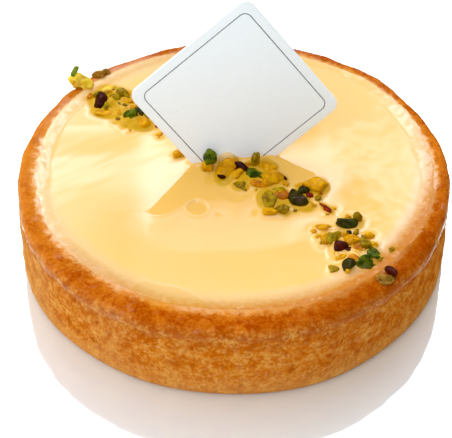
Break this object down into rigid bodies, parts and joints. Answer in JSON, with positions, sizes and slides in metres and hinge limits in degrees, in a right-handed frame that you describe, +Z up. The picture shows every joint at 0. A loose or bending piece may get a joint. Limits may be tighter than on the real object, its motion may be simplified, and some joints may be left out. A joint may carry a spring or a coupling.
{
  "type": "lemon tart",
  "caption": "Round straight-sided lemon tart with glossy cream filling, clusters of chopped pistachio and a small square card stuck in by one corner.",
  "frame": {"origin": "centre of the flat underside", "axes": "+Z up; the card faces -Y, and the clusters of pistachio run from the back left to the front right"},
  "size_m": [0.0796, 0.0809, 0.0459],
  "materials": {
    "pastry": "baked, matt and sandy, with a thin glaze on the rim",
    "lemon_cream": "wet gloss",
    "card": "smooth, satin"
  },
  "bodies": {
    "root": {"pastry_shell": "pastry", "lemon_cream": "lemon_cream", "card": "card"}
  },
  "joints": []
}
